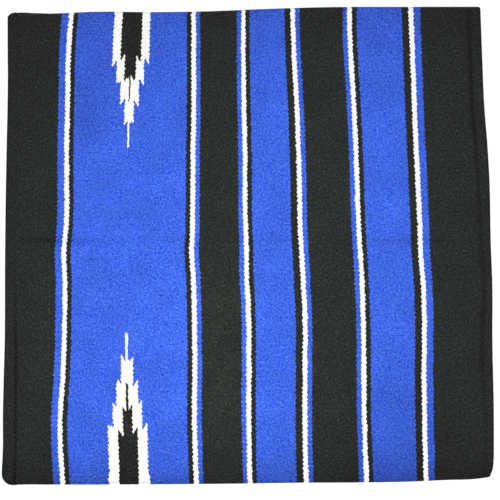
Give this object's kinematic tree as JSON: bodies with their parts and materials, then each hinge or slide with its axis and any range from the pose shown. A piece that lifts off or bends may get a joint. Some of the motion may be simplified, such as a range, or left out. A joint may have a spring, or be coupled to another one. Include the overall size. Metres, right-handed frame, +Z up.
{
  "type": "saddle blanket",
  "caption": "Heavy striped saddle blanket folded double, with sewn hems, that opens out at its fold and bends over the spine.",
  "frame": {"origin": "middle of the blanket's box in plan, on the surface that it rests on", "axes": "+X across the stripes, towards the right in the picture; +Y along the stripes, towards the folded edge; +Z up, out of the upper layer's outside face"},
  "size_m": [0.8266, 0.8021, 0.0093],
  "materials": {
    "striped_weft": "matt wool-like weft in black, blue and white stripes",
    "black_weft": "matt wool-like weft, black",
    "cotton_warp": "undyed cotton cord",
    "sewing_thread": "black twisted sewing thread"
  },
  "bodies": {
    "lower_fold_half": {"woven_panel_lower_fold_half": "striped_weft", "warp_cords_lower_fold_half": "cotton_warp", "left_hem_lower_fold_half": "black_weft", "left_hem_thread_lower_fold_half": "sewing_thread", "right_hem_lower_fold_half": "black_weft", "right_hem_thread_lower_fold_half": "sewing_thread", "fold_roll": "striped_weft"},
    "lower_open_half": {"woven_panel_lower_open_half": "striped_weft", "warp_cords_lower_open_half": "cotton_warp", "left_hem_lower_open_half": "black_weft", "left_hem_thread_lower_open_half": "sewing_thread", "right_hem_lower_open_half": "black_weft", "right_hem_thread_lower_open_half": "sewing_thread", "selvage_lower": "striped_weft"},
    "upper_fold_half": {"woven_panel_upper_fold_half": "striped_weft", "warp_cords_upper_fold_half": "cotton_warp", "left_hem_upper_fold_half": "black_weft", "left_hem_thread_upper_fold_half": "sewing_thread", "right_hem_upper_fold_half": "black_weft", "right_hem_thread_upper_fold_half": "sewing_thread"},
    "upper_open_half": {"woven_panel_upper_open_half": "striped_weft", "warp_cords_upper_open_half": "cotton_warp", "left_hem_upper_open_half": "black_weft", "left_hem_thread_upper_open_half": "sewing_thread", "right_hem_upper_open_half": "black_weft", "right_hem_thread_upper_open_half": "sewing_thread", "selvage_upper": "striped_weft"}
  },
  "joints": [
    {"name": "double_open", "type": "hinge", "parent": "lower_fold_half", "child": "upper_fold_half", "pos_m": [-0.00689, 0.39062, 0.00465], "axis": [-0.9999, -0.0142, 0], "range_deg": [0, 180], "deforming": ["fold_roll"]},
    {"name": "spine_bend", "type": "hinge", "parent": "lower_fold_half", "child": "lower_open_half", "pos_m": [0, 0.00942, -0.00015], "axis": [1, 0, 0], "range_deg": [0, 180]},
    {"name": "upper_spine_bend", "type": "hinge", "parent": "upper_fold_half", "child": "upper_open_half", "pos_m": [0, 0.00942, -0.00015], "axis": [1, 0, 0], "range_deg": [0, 180]}
  ],
  "couplings": [
    {"joint": "upper_spine_bend", "follows": "spine_bend", "ratio": 1}
  ]
}
